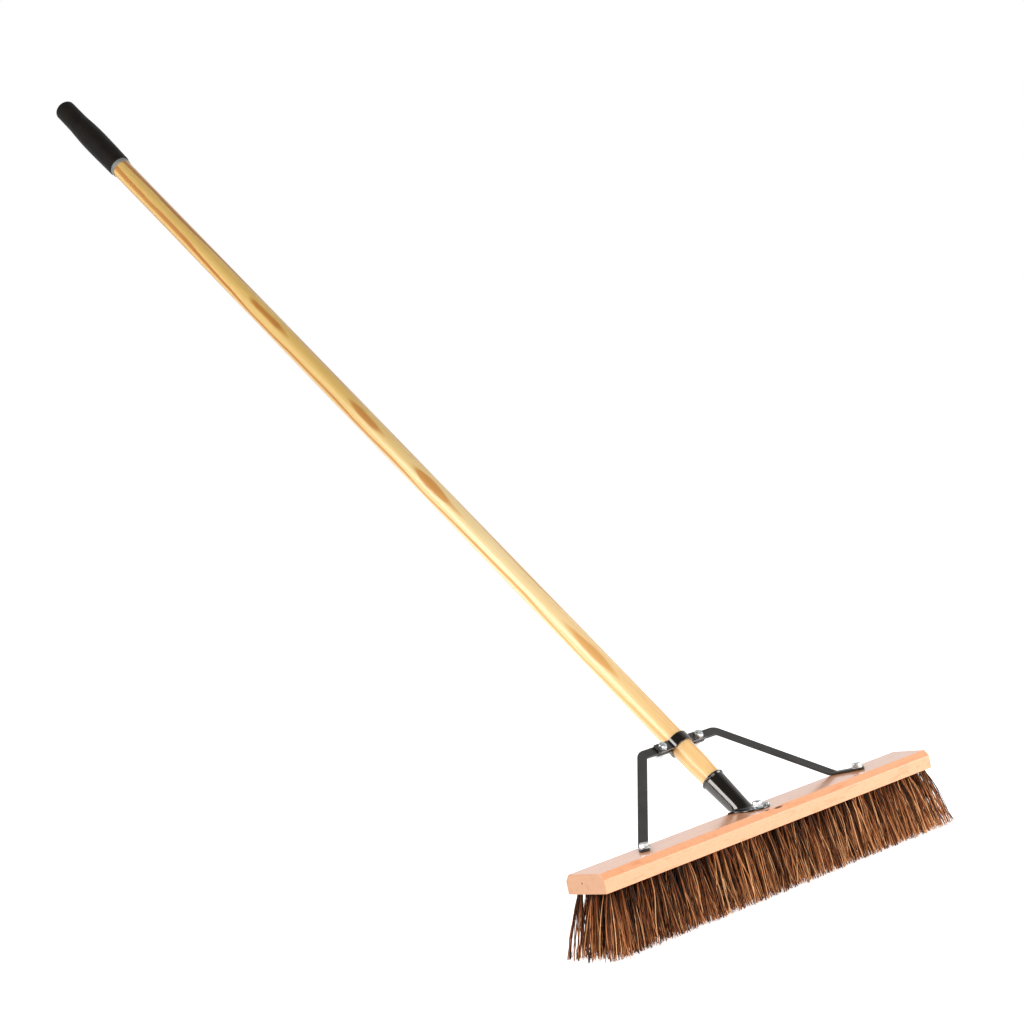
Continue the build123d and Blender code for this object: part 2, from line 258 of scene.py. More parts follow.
def bumped(tree, height, distance, strength):
    """Normal put out by a Bump node; distance, in metres, is the depth of a full bump."""
    inputs = {"Height": height, "Distance": distance, "Strength": strength}
    return wire(tree, "ShaderNodeBump", inputs).outputs[0]


def new_group(name, inputs, outputs):
    """Empty node group with named sockets; gives the tree and its input and output nodes."""
    tree = bpy.data.node_groups.new(name, "ShaderNodeTree")
    for label, kind, value in inputs:
        socket = tree.interface.new_socket(label, in_out="INPUT", socket_type=kind)
        socket.default_value = value
    for label, kind in outputs:
        tree.interface.new_socket(label, in_out="OUTPUT", socket_type=kind)
    return tree, tree.nodes.new("NodeGroupInput"), tree.nodes.new("NodeGroupOutput")


def effect(tree, group, inputs):
    """Mask put out by a shared effect, placed in a material with its own values."""
    return wire(tree, "ShaderNodeGroup", inputs, node_tree=group).outputs["Mask"]


def new_material(name):
    """Material with only its output and Principled shader; gives both tree and shader."""
    material = bpy.data.materials.new(name)
    material.use_nodes = True
    tree = material.node_tree
    return material, tree, tree.nodes["Principled BSDF"]


# %% [markdown]
# ## Shared effects
#
# **Speckle** is an even fine noise, for enamel, moulded rubber and plated steel.
# **Streaks** is the same noise pulled out along one direction, which is how wood pores and
# fibres read from a distance. Both end the same way: the noise is stretched about its
# middle value by a contrast and clipped to the range from 0 to 1.

# %% Effect groups
VECTOR, FLOAT = "NodeSocketVector", "NodeSocketFloat"


def put_out_mask(group, noise, enter, leave):
    """Link the group's output: mask = clip((noise - 0.5) * contrast + 0.5)."""
    spread = math_node(group, "SUBTRACT", noise.outputs["Fac"], 0.5)
    scaled = math_node(group, "MULTIPLY", spread, enter.outputs["Contrast"])
    group.links.new(math_node(group, "ADD", scaled, 0.5, clamp=True), leave.inputs["Mask"])


speckle_group, enter, leave = new_group(
    "speckle",
    [("Place", VECTOR, (0, 0, 0)), ("Grains per metre", FLOAT, 900.0), ("Contrast", FLOAT, 1.0)],
    [("Mask", FLOAT)],
)
grains = wire(
    speckle_group,
    "ShaderNodeTexNoise",
    {"Vector": enter.outputs["Place"], "Scale": enter.outputs["Grains per metre"], "Detail": 3.0},
)
put_out_mask(speckle_group, grains, enter, leave)

streak_group, enter, leave = new_group(
    "streaks",
    [
        ("Place", VECTOR, (0, 0, 0)),
        ("Stretch", VECTOR, (600, 600, 8)),
        ("Contrast", FLOAT, 1.0),
        ("Wander", FLOAT, 0.4),
    ],
    [("Mask", FLOAT)],
)
pulled = vector_node(streak_group, "MULTIPLY", enter.outputs["Place"], enter.outputs["Stretch"])
lines = wire(
    streak_group,
    "ShaderNodeTexNoise",
    {
        "Vector": pulled,
        "Scale": 1.0,
        "Detail": 4.0,
        "Roughness": 0.6,
        "Distortion": enter.outputs["Wander"],
    },
)
put_out_mask(streak_group, lines, enter, leave)

# %% [markdown]
# ## Pine for the handle
#
# A broom handle is turned from a straight stick of softwood. The growth rings are nearly
# flat sheets that meet its surface at a shallow angle, so they show as long pale and
# orange streaks that close in tall arches and islands. Rings about a line some 60 mm from
# the handle's own, shifted in and out along its length, give just that. The shifts are a
# short list of (share of 1.6 m, rings). Clear lacquer lies on top as a coat.
# The pattern reads the attribute `grain`, which holds each point's place in handle
# directions.


# %% Handle wood
RINGS_PER_METRE, SHIFT_LIST_PER_METRE = 120.0, 0.625
RING_DRIFT, RING_CENTRE = (0.0042, 0.0042, 0.0), (-0.0374, 0.0464, 0.0)
RING_SHIFTS = [
    (0.08, 0.33), (0.18, 0.77), (0.26, 0.38), (0.37, 0.60), (0.398, 0.78), (0.425, 0.60),
    (0.452, 0.62), (0.478, 0.77), (0.500, 0.77), (0.530, 0.56), (0.595, 0.58), (0.625, 0.73),
    (0.660, 0.72), (0.690, 0.44), (0.76, 0.18), (1.0, 0.13),
]


def make_handle_wood():
    """Pine: rings are the distance from a far line plus a shift that changes along the
    handle, cut into bands by the fraction; fine streaks lie over them."""
    material, tree, shader = new_material("lacquered pine")
    grain = wire(tree, "ShaderNodeAttribute", attribute_name="grain").outputs["Vector"]
    slow = vector_node(tree, "MULTIPLY", grain, (12, 12, 4.5))
    wander = wire(tree, "ShaderNodeTexNoise", {"Vector": slow, "Scale": 1.0, "Detail": 4.0})
    drift = vector_node(tree, "MULTIPLY_ADD", wander.outputs["Color"], RING_DRIFT, RING_CENTRE)
    moved = vector_node(tree, "ADD", grain, drift)
    distance = vector_node(tree, "LENGTH", vector_node(tree, "MULTIPLY", moved, (1, 1, 0)))
    height = wire(tree, "ShaderNodeSeparateXYZ", {0: grain}).outputs["Z"]
    shift = ramp(tree, math_node(tree, "MULTIPLY", height, SHIFT_LIST_PER_METRE), RING_SHIFTS)
    ring_count = math_node(tree, "MULTIPLY_ADD", distance, RINGS_PER_METRE, shift)
    rings = math_node(tree, "FRACT", ring_count)
    # The early and late colours change with height: lighter at the foot, darker towards the top. This
    # is painted shade standing in for light that fades up the handle.
    early = ramp(
        tree,
        height,
        [(0.10, (0.860, 0.560, 0.240)), (0.50, (0.760, 0.600, 0.330)), (0.85, (0.560, 0.375, 0.112))],
    )
    late = ramp(
        tree,
        height,
        [(0.10, (0.780, 0.430, 0.150)), (0.50, (0.560, 0.255, 0.050)), (0.85, (0.360, 0.118, 0.009))],
    )
    late_band = ramp(tree, rings, [(0.0, 0.0), (0.53, 0.0), (0.60, 0.85), (0.93, 1.0), (1.0, 0.0)])
    patches = vector_node(tree, "MULTIPLY", grain, (30, 30, 3.1))
    patch_noise = wire(tree, "ShaderNodeTexNoise", {"Vector": patches, "Scale": 1.0, "Detail": 1.0})
    strength = ramp(tree, patch_noise.outputs["Fac"], [(0.36, 0.88), (0.50, 1.0)])
    figured = mix_colour(tree, math_node(tree, "MULTIPLY", strength, late_band), early, late)
    streaks = effect(tree, streak_group, {"Place": grain, "Stretch": (900, 900, 9), "Contrast": 1.6})
    fine = ramp(tree, streaks, [(0.0, (0.84, 0.77, 0.66)), (1.0, (1.07, 1.07, 1.07))])
    colour = mix_colour(tree, 1.0, figured, fine, "MULTIPLY")
    connect(tree, shader, {
        "Base Color": colour,
        "Roughness": 0.45,
        "Coat Weight": 0.45,
        "Coat Roughness": 0.20,
        "Normal": bumped(tree, streaks, 0.00003, 0.3),
    })
    return material


handle_wood = make_handle_wood()

# %% [markdown]
# ## Beech for the block
#
# The block is a close-grained hardwood: rings that hardly show, short dark flecks where
# the rays come through, and a darker, duller tone on the sawn ends. Because the rings are
# rings about a line, the flat faces and the end grain get the right pattern from one
# formula. A few small dark marks are ellipsoids, each with a centre and radii in mm. The
# block's own CAD mesh has the right shape, so only its material changes, and the pattern
# reads Object coordinates.


# %% Block wood
BLOCK_MARKS = [
    ((-10.0, -25.5, 99.0), (6.0, 1.2, 4.0)),
    ((9.8, -27.0, 98.5), (9.0, 1.1, 4.0)),
    ((11.4, -12.3, 100.0), (6.0, 1.0, 4.0)),
    ((-305.0, 5.4, 89.3), (4.0, 1.3, 1.7)),
]
PALE_BEECH = (0.860, 0.376, 0.176)
WARM_BEECH = (0.825, 0.345, 0.148)
DEEP_BEECH = (0.745, 0.265, 0.098)
END_GRAIN_TINT = (0.57, 0.64, 0.66)
MARK_BROWN = (0.055, 0.017, 0.007)


def make_block_wood():
    """Beech: faint rings about a line below the block, short flecks, darker end grain and
    the small dark marks."""
    material, tree, shader = new_material("lacquered beech")
    place = wire(tree, "ShaderNodeTexCoord").outputs["Object"]
    centred = wire(
        tree,
        "ShaderNodeMapping",
        {
            "Vector": place,
            "Location": (0.0, 0.018, 0.060),
            "Rotation": (0.0, radians(0.5), radians(1.1)),
            "Scale": (0.10, 1.0, 1.0),
        },
    )
    rings = wire(
        tree,
        "ShaderNodeTexWave",
        {
            "Vector": centred.outputs[0],
            "Scale": 34.0,
            "Distortion": 2.0,
            "Detail": 2.0,
            "Detail Scale": 1.1,
        },
        wave_type="RINGS",
        rings_direction="X",
        wave_profile="SAW",
    )
    ring_stops = [(0.0, PALE_BEECH), (0.6, PALE_BEECH), (0.92, WARM_BEECH), (1.0, PALE_BEECH)]
    ring_colour = ramp(tree, rings.outputs["Fac"], ring_stops)

    def streaks(stretch, contrast, wander):
        inputs = {"Place": place, "Stretch": stretch, "Contrast": contrast, "Wander": wander}
        return effect(tree, streak_group, inputs)

    broad = streaks((5, 90, 90), 2.2, 0.6)
    figured = mix_colour(tree, ramp(tree, broad, [(0.25, 0.1), (0.8, 0.7)]), PALE_BEECH, ring_colour)
    stains = streaks((22, 120, 120), 3.0, 1.0)
    figured = mix_colour(tree, ramp(tree, stains, [(0.68, 0.0), (0.95, 0.6)]), figured, DEEP_BEECH)
    flecks = streaks((260, 1300, 1300), 3.2, 0.1)
    fleck_stops = [(0.0, (0.80, 0.66, 0.54)), (0.32, (1.0, 1.0, 1.0)), (1.0, (1.02, 1.02, 1.02))]
    colour = mix_colour(tree, 0.8, figured, ramp(tree, flecks, fleck_stops), "MULTIPLY")
    normal = wire(tree, "ShaderNodeNewGeometry").outputs["Normal"]
    facing = wire(tree, "ShaderNodeSeparateXYZ", {0: normal})
    end_mask = ramp(tree, math_node(tree, "ABSOLUTE", facing.outputs[0]), [(0.6, 0.0), (0.9, 1.0)])
    end_colour = mix_colour(tree, 1.0, colour, END_GRAIN_TINT, "MULTIPLY")
    colour = mix_colour(tree, end_mask, colour, end_colour)
    for spot, radii in BLOCK_MARKS:
        offset = vector_node(tree, "SUBTRACT", place, tuple(v * MM for v in spot))
        scaled = vector_node(tree, "MULTIPLY", offset, tuple(1 / (r * MM) for r in radii))
        mark = ramp(tree, vector_node(tree, "LENGTH", scaled), [(0.60, 0.95), (1.0, 0.0)])
        colour = mix_colour(tree, mark, colour, MARK_BROWN)
    connect(tree, shader, {
        "Base Color": colour,
        "Roughness": ramp(tree, end_mask, [(0.0, 0.34), (1.0, 0.55)]),
        "Coat Weight": 0.9,
        "Coat Roughness": 0.14,
        "Normal": bumped(tree, flecks, 0.00005, 0.5),
    })
    return material


block_wood = make_block_wood()

# %% [markdown]
# ## Painted and plated steel, rubber and fibre
#
# The socket and clamp are dipped in gloss enamel, which pools and dimples slightly. The
# legs have a duller coat. Zinc is a bright metal with a cloudy bloom. The grip is matte
# rubber with a fine moulded stipple, and the collar is plain grey plastic. A bristle takes
# its brown from the attribute `tone`, which carries painted shade that darkens it towards
# the root and painted light that lightens one end of the broom, and from soft bands along it.


# %% Metals and rubber
def make_coat(name, colour, roughness, grains, dimple, gloss, index=1.5):
    """Paint or rubber: fine speckle as a bump of depth dimple, a slow change of tone, gloss
    as the strength of the reflection and index as the refractive index."""
    material, tree, shader = new_material(name)
    place = wire(tree, "ShaderNodeTexCoord").outputs["Object"]
    fine = effect(tree, speckle_group, {"Place": place, "Grains per metre": grains})
    slow = effect(tree, speckle_group, {"Place": place, "Grains per metre": 45.0, "Contrast": 1.5})
    darker = tuple(0.78 * c for c in colour)
    lighter = tuple(1.25 * c for c in colour)
    connect(tree, shader, {
        "Base Color": ramp(tree, slow, [(0.2, darker), (0.8, lighter)]),
        "Roughness": ramp(tree, slow, [(0.2, roughness * 0.85), (0.8, roughness * 1.15)]),
        "Specular IOR Level": gloss,
        "IOR": index,
        "Normal": bumped(tree, fine, dimple, 0.7),
    })
    return material


def make_zinc():
    """Zinc plate: bright metal whose tone and roughness drift in soft clouds."""
    material, tree, shader = new_material("zinc plate")
    place = wire(tree, "ShaderNodeTexCoord").outputs["Object"]
    cloud = effect(tree, speckle_group, {"Place": place, "Grains per metre": 320.0, "Contrast": 1.8})
    connect(tree, shader, {
        "Metallic": 1.0,
        "Base Color": ramp(tree, cloud, [(0.15, (0.48, 0.50, 0.51)), (0.85, (0.84, 0.86, 0.87))]),
        "Roughness": ramp(tree, cloud, [(0.1, 0.26), (0.9, 0.44)]),
        "Normal": bumped(tree, cloud, 0.00006, 0.5),
    })
    return material


ENAMEL_BLACK = (0.0036, 0.0020, 0.0008)
SATIN_BLACK = (0.0215, 0.0196, 0.0172)
RUBBER_BLACK = (0.0054, 0.0036, 0.0025)
PLASTIC_GREY = (0.190, 0.190, 0.178)
gloss_black = make_coat("gloss black enamel", ENAMEL_BLACK, 0.13, 380.0, 0.00003, 0.8, index=1.62)
enamel_shader = gloss_black.node_tree.nodes["Principled BSDF"]
enamel_shader.inputs["Specular Tint"].default_value = (1.0, 0.95, 0.90, 1.0)
satin_black = make_coat("satin black coat", SATIN_BLACK, 0.40, 1500.0, 0.00005, 0.5)
grip_rubber = make_coat("stippled black rubber", RUBBER_BLACK, 0.60, 1700.0, 0.00016, 0.16)
collar_grey = make_coat("grey plastic", PLASTIC_GREY, 0.52, 900.0, 0.00004, 0.4)
zinc = make_zinc()


# %% Bristle fibre
def make_fibre():
    """Palmyra fibre: each bristle's tone picks a brown, with darker bands along its length."""
    material, tree, shader = new_material("brown plant fibre")
    tone = wire(tree, "ShaderNodeAttribute", attribute_name="tone").outputs["Fac"]
    place = wire(tree, "ShaderNodeTexCoord").outputs["Object"]
    bands = effect(tree, streak_group, {"Place": place, "Stretch": (500, 500, 60), "Contrast": 1.4})
    swing = math_node(tree, "MULTIPLY_ADD", bands, 0.24, -0.12)
    shifted = math_node(tree, "ADD", tone, swing, clamp=True)
    browns = [
        (0.0, (0.010, 0.0028, 0.0008)),
        (0.28, (0.060, 0.0150, 0.0046)),
        (0.50, (0.255, 0.073, 0.0225)),
        (0.70, (0.610, 0.232, 0.082)),
        (1.0, (0.960, 0.560, 0.275)),
    ]
    connect(tree, shader, {
        "Base Color": ramp(tree, shifted, browns),
        "Roughness": ramp(tree, bands, [(0.2, 0.42), (0.8, 0.62)]),
        "Specular IOR Level": 0.22,
        "Specular Tint": (1.0, 0.80, 0.62, 1.0),
    })
    return material


fibre = make_fibre()

# %% [markdown]
# ## The handle
#
# A straight stick, turned down to a taper where it enters the socket. It is a surface of
# revolution: the profile is a list of (radius, height) and each point becomes a circle.
# The `grain` attribute is stored here, because the wood follows the handle and not the
# room.

# %% Handle
HANDLE_RADIUS, TAPER_RADIUS, END_CHAMFER = 14.3, 10.9, 1.0
TAPER_START, TAPER_END, STICK_END = 16.0, 82.0, 1567.0
SOCKET_GAP = 0.3


def stick_radius(s):
    """Radius of the stick at height s, in mm: a cone up to the taper's end, then a cylinder."""
    return np.interp(s, [TAPER_START, TAPER_END], [TAPER_RADIUS, HANDLE_RADIUS])


heights = np.concatenate([
    [TAPER_START, TAPER_START + END_CHAMFER],
    np.linspace(20, TAPER_END, 9),
    np.linspace(100, STICK_END, 60),
])
radii = stick_radius(heights)
radii[0] -= END_CHAMFER
handle_grid = turned(np.stack([radii, heights], 1), columns=72)
handle = grid_piece("broom_handle", handle_grid)
relative = handle_grid.reshape(-1, 3) - FOOT
grain_place = np.stack([relative @ ACROSS, relative @ FRONT, relative @ ALONG], 1)
grain_attribute = handle.data.attributes.new("grain", "FLOAT_VECTOR", "POINT")
grain_attribute.data.foreach_set("vector", grain_place.astype(np.float32).ravel())
finish_piece(handle, HANDLE, ["handle"], handle_wood)

# %% [markdown]
# ## Grip and collar
#
# The grip is a moulded rubber sleeve: narrow at the collar, fuller where the hand closes,
# and domed at the end. A short step and a soft lip at its mouth show that it is a separate
# sleeve. The collar is a plain ring with eased edges.

# %% Grip and collar
COLLAR_START, COLLAR_END = 1408.0, 1415.0
GRIP_CYLINDER, GRIP_DOME_START, GRIP_END = 1532.0, 1566.0, 1575.0
GRIP_TOP_RADIUS = 15.6
SWELL_HEIGHTS = [1418, 1432, 1462, 1485, 1510, 1532]
SWELL_RADII = [16.9, 17.2, 17.8, 18.0, 17.2, GRIP_TOP_RADIUS]
grip_heights = np.linspace(COLLAR_END + 3.0, GRIP_CYLINDER, 40)
grip_radii = np.interp(grip_heights, SWELL_HEIGHTS, SWELL_RADII)
grip_radii = np.convolve(np.pad(grip_radii, 4, mode="edge"), np.ones(9) / 9, mode="valid")
dome_height = GRIP_END - GRIP_DOME_START
grip_profile = [
    (HANDLE_RADIUS, COLLAR_END), (16.1, COLLAR_END), (16.7, COLLAR_END + 0.5), (16.9, COLLAR_END + 1.4),
]
grip_profile += list(zip(grip_radii, grip_heights))
for angle in np.linspace(0, radians(84), 12):
    grip_profile.append((GRIP_TOP_RADIUS * cos(angle), GRIP_DOME_START + dome_height * sin(angle)))
grip = grid_piece("rubber_grip", turned(grip_profile))
finish_piece(grip, HANDLE, ["handle_grip"], grip_rubber)

collar_profile = [
    (HANDLE_RADIUS, COLLAR_START), (15.0, COLLAR_START), (15.5, COLLAR_START + 0.5),
    (15.6, COLLAR_START + 1.2), (15.6, COLLAR_END - 1.2), (15.5, COLLAR_END - 0.5),
    (15.0, COLLAR_END), (HANDLE_RADIUS, COLLAR_END),
]
collar = grid_piece("grey_collar", turned(collar_profile), ring=True)
finish_piece(collar, HANDLE, ["grip_collar"], collar_grey)

# %% [markdown]
# ## The socket
#
# The socket is one stamping: a tube with a rolled rim that spreads into a flat plate. A
# tube and a plate that merely cross each other would meet in a knife edge. Here both are
# made as closed grids, then melted together with a voxel remesh and smoothed, which leaves
# the small round fillet of pressed and painted sheet.

# %% Socket
SOCKET_WALL, SOCKET_RIM = 1.8, 56.0
WALL_TOP, BORE_TOP = 52.4, 55.4
FLARE_WIDTH, FLARE_HEIGHT = 2.4, 3.2
PLATE_RADIUS, PLATE_CENTRE, PLATE_REAR, PLATE_REAR_HALF = 21.5, 6.0, 23.0, 29.0
PLATE_THICKNESS = 2.4


def socket_tube(columns=96):
    """Tube grid: every column runs from where it meets the block's plane up to the rim, out
    over the rolled bead and back down the bore. Near the plate it flares by an exponential."""
    angle = np.linspace(0, 2 * pi, columns, endpoint=False)
    inner_foot = stick_radius(TAPER_START) + SOCKET_GAP
    inner_rim = stick_radius(SOCKET_RIM) + SOCKET_GAP
    share = np.linspace(0, 1, 40)[:, None]

    def wall(foot, rim, top, flare):
        low = -foot * np.sin(angle) / tan(LEAN)
        height = low + share * (top - low)
        radius = np.interp(height, [0, SOCKET_RIM], [foot, rim])
        front_side = np.clip(np.sin(angle) + 0.55, 0, 1)
        return radius + flare * front_side * np.exp(-(height - low) / FLARE_HEIGHT), height

    outer_r, outer_s = wall(inner_foot + SOCKET_WALL, inner_rim + SOCKET_WALL, WALL_TOP, FLARE_WIDTH)
    inner_r, inner_s = wall(inner_foot, inner_rim, BORE_TOP, 0.0)
    outside = inner_rim + SOCKET_WALL
    bead = np.array([
        (outside + 0.35, 52.9), (outside + 0.95, 53.5), (outside + 1.15, 54.4),
        (outside + 0.95, 55.4), (outside + 0.30, 56.1), (outside - 0.7, 56.2), (inner_rim + 0.3, 56.0),
    ])
    bead_r, bead_s = (np.repeat(part[:, None], columns, 1) for part in bead.T)
    radius = np.concatenate([outer_r, bead_r, inner_r[::-1]]) * MM
    height = np.concatenate([outer_s, bead_s, inner_s[::-1]]) * MM
    return on_handle(radius * np.cos(angle), height, radius * np.sin(angle))


def plate_outline():
    """Outline of the base plate: a half circle in front, straight sides that flare to the rear."""
    turn = np.linspace(pi, 2 * pi, 40)
    arc = np.stack([PLATE_RADIUS * np.cos(turn), PLATE_CENTRE + PLATE_RADIUS * np.sin(turn)], 1)
    side = np.linspace(0, 1, 12)[1:, None]
    flare = np.array([[PLATE_RADIUS, PLATE_CENTRE]]) + side * np.array([[0, PLATE_REAR - PLATE_CENTRE]])
    flare[:, 0] += (PLATE_REAR_HALF - PLATE_RADIUS) * side[:, 0] ** 3
    rear = np.linspace(PLATE_REAR_HALF, -PLATE_REAR_HALF, 16)[1:-1]
    rear = np.stack([rear, np.full_like(rear, PLATE_REAR)], 1)
    return np.concatenate([arc, flare, rear, flare[::-1] * [-1, 1]])


def base_plate():
    """Plate grid: the outline in rings that draw in towards the top for a rolled edge."""
    outline = plate_outline()
    rings = []
    for height, inset in ((0.0, 0.25), (0.4, 0.0), (1.5, 0.0), (2.1, 0.35), (PLATE_THICKNESS, 1.1)):
        centre = np.array([0, PLATE_CENTRE])
        drawn = centre + (outline - centre) * (1 - inset / PLATE_RADIUS)
        rings.append(np.column_stack([drawn, np.full(len(drawn), height)]))
    return np.array(rings) * MM + np.array([0, 0, BLOCK_TOP])


def melted(name, grids, voxel, smoothing):
    """Join closed grids, remesh them into one skin and smooth it."""
    points, faces, start = [], [], 0
    for grid, ring in grids:
        rows, columns = grid.shape[:2]
        points.append(grid.reshape(-1, 3))
        faces += grid_faces(rows, columns, ring, start)
        start += rows * columns
    piece = add_mesh(name, np.concatenate(points), faces)
    remesh = piece.modifiers.new("melt", "REMESH")
    remesh.mode = "VOXEL"
    remesh.voxel_size = voxel
    smooth = piece.modifiers.new("smooth", "SMOOTH")
    smooth.iterations = smoothing
    bpy.context.view_layer.update()
    evaluated = piece.evaluated_get(bpy.context.evaluated_depsgraph_get())
    skin = bpy.data.meshes.new_from_object(evaluated)
    piece.modifiers.clear()
    piece.data = skin
    skin.shade_smooth()
    return piece


socket = melted("socket", [(socket_tube(), True), (base_plate(), False)], 0.6 * MM, 5)
finish_piece(socket, HEAD, ["handle_socket"], gloss_black)

# %% [markdown]
# ## Flat bar carried along a path
#
# Clamp straps and brace legs are both flat bar. A bar is a rounded rectangle carried along
# a path: at each station the section lies across the path, and the two ends are narrowed
# along a quarter circle so that their corners come out round.


# %% Bar helpers
def bar_section(width, thickness, corner=0.5, across=10):
    """Rounded rectangle as (a, b) points: a across the bar, b through its thickness."""
    quarter = np.linspace(0, pi / 2, 4)
    points = []
    for turn, (sign_a, sign_b) in enumerate(((1, 1), (-1, 1), (-1, -1), (1, -1))):
        angle = quarter + turn * pi / 2
        a = sign_a * (width / 2 - corner) + corner * np.cos(angle)
        b = sign_b * (thickness / 2 - corner) + corner * np.sin(angle)
        points.append(np.stack([a, b], 1))
        if turn in (0, 2):
            inside = np.linspace(1, -1, across + 1)[1:-1] * sign_a * (width / 2 - corner)
            points.append(np.stack([inside, np.full_like(inside, sign_b * thickness / 2)], 1))
    return np.concatenate(points)


def round_ends(distance, total, width, radius):
    """Share of the width left near each end, so that corners follow a quarter circle."""
    gap = np.clip(np.minimum(distance, total - distance), 0, radius)
    return 1 - 2 * (radius - np.sqrt(radius**2 - (radius - gap) ** 2)) / width


def path_frame(path):
    """Distance along a flat path and its unit direction and left-hand normal at each point."""
    step = np.gradient(path, axis=0)
    direction = step / np.linalg.norm(step, axis=1)[:, None]
    distance = np.concatenate([[0], np.cumsum(np.linalg.norm(np.diff(path, axis=0), axis=1))])
    return distance, direction, np.stack([-direction[:, 1], direction[:, 0]], 1)


# %% [markdown]
# ## Clamp straps
#
# Two straps close round the handle like a pipe clip, and their ears hold the brace legs
# between them. Seen end on, a strap is a line: ear, arch, ear. Averaging the line with its
# neighbours rounds the two inner corners, as bending does.

# %% Clamp
STRAP_THICKNESS, STRAP_WIDTH, STRAP_REACH = 2.4, 14.0, 44.5
STRAP_RADIUS = HANDLE_RADIUS + SOCKET_GAP + STRAP_THICKNESS / 2
CLAMP_HEIGHT, CLAMP_BOLT = 120.5, 33.5
BAR_WIDTH, BAR_THICKNESS = 12.7, 3.2


def strap_piece(name, ear, facing):
    """Strap whose ears lie at height ear in front of the axis and whose arch faces facing."""
    start = np.arcsin(facing * ear / STRAP_RADIUS)
    turn = np.linspace(pi - start, start, 60)
    arch = STRAP_RADIUS * np.stack([np.cos(turn), facing * np.sin(turn)], 1)
    ear_x = np.linspace(-STRAP_REACH, arch[0, 0] - 0.6, 44)
    left = np.stack([ear_x, np.full_like(ear_x, ear)], 1)
    path = np.concatenate([left, arch, left[::-1] * [-1, 1]])
    padded = np.pad(path, ((3, 3), (0, 0)), mode="reflect", reflect_type="odd")
    path = np.stack([np.convolve(padded[:, k], np.ones(7) / 7, mode="valid") for k in (0, 1)], 1)
    distance, _, normal = path_frame(path)
    section = bar_section(STRAP_WIDTH, STRAP_THICKNESS, 0.45, across=6)
    width = section[:, 0] * round_ends(distance, distance[-1], STRAP_WIDTH, 3.5)[:, None]
    through = path[:, None, :] + normal[:, None, :] * section[None, :, 1:2]
    points = on_handle(through[..., 0] * MM, (CLAMP_HEIGHT + width) * MM, through[..., 1] * MM)
    return grid_piece(name, points)


half = STRAP_THICKNESS / 2
for side, ear, facing in (("front", BAR_THICKNESS + half, 1), ("rear", -half, -1)):
    strap = strap_piece(f"clamp_strap_{side}", ear, facing)
    finish_piece(strap, HEAD, [f"clamp_{side}"], gloss_black)

# %% [markdown]
# ## Brace legs
#
# A leg starts as a flat strip, is bent once in its own plane, and is then folded over a
# straight line so that its foot lies on the block. That is also the easy way to model it:
# draw the strip flat, in (across, up), and send every point through one fold formula.
# Above the line the sheet leans with the handle, below it the sheet lies level, and a
# small arc joins the two.

# %% Legs
LEG_START, LEG_BEND, LEG_FOLD = 23.0, 68.0, 179.2
LEG_BEND_RADIUS, FOLD_RADIUS, FOOT_REACH = 12.0, 5.0, 40.0


def fold(across, up, lift):
    """Fold the flat sheet on the line up = 0: level below it, leaning with the handle above.
    The arc between them has radius FOLD_RADIUS on the underside; lift is along the normal."""
    tangent = FOLD_RADIUS * tan(LEAN / 2)
    half = FOLD_RADIUS * LEAN / 2
    angle = np.clip((up + half) / FOLD_RADIUS, 0, LEAN)
    level_part = np.minimum(up + half, 0)
    raised_part = np.maximum(up - half, 0)
    y = level_part - tangent + FOLD_RADIUS * np.sin(angle) + raised_part * cos(LEAN)
    z = FOLD_RADIUS * (1 - np.cos(angle)) + raised_part * sin(LEAN)
    y = y - lift * np.sin(angle)
    z = z + lift * np.cos(angle)
    return np.stack([across * MM, FOOT[1] + y * MM, BLOCK_TOP + z * MM], -1)


def leg_centre_line():
    """Centre line of the flat strip: level arm, a round bend, and a straight leg and foot."""
    bend = np.array([LEG_BEND, CLAMP_HEIGHT])
    down = np.array([LEG_FOLD, 0.0]) - bend
    down /= np.linalg.norm(down)
    turn = np.arccos(down[0])
    trim = LEG_BEND_RADIUS * tan(turn / 2)
    arc_angle = np.linspace(0, turn, 14)
    centre = bend + np.array([-trim, -LEG_BEND_RADIUS])
    arc = centre + LEG_BEND_RADIUS * np.stack([np.sin(arc_angle), np.cos(arc_angle)], 1)
    arm = np.linspace([LEG_START, CLAMP_HEIGHT], arc[0], 20)[:-1]
    length = np.linalg.norm(np.array([LEG_FOLD, 0.0]) - arc[-1]) + FOOT_REACH
    leg = arc[-1] + down * np.linspace(0, length, 130)[1:, None]
    return np.concatenate([arm, arc, leg])


def leg_piece(name, side):
    """One leg: the strip's section carried along its centre line, folded, and mirrored by side."""
    path = leg_centre_line()
    distance, _, normal = path_frame(path)
    section = bar_section(BAR_WIDTH, BAR_THICKNESS, 0.9, across=12)
    width = section[:, 0] * round_ends(distance, distance[-1], BAR_WIDTH, 2.5)[:, None]
    flat = path[:, None, :] + normal[:, None, :] * width[..., None]
    lift = np.broadcast_to(section[:, 1] + BAR_THICKNESS / 2, width.shape)
    return grid_piece(name, fold(side * flat[..., 0], flat[..., 1], lift))


for side, sign in (("left", -1), ("right", 1)):
    leg = leg_piece(f"brace_leg_{side}", sign)
    finish_piece(leg, HEAD, [f"leg_{side}"], satin_black)

# %% [markdown]
# ## Screws, bolts and washers
#
# A hexagon head is a hexagon cut by a cone, which is where the curved chamfers on its
# corners come from. So the radius at each angle and height is the smaller of two numbers:
# the hexagon's radius and the cone's. The plain shank below is part of the same grid.


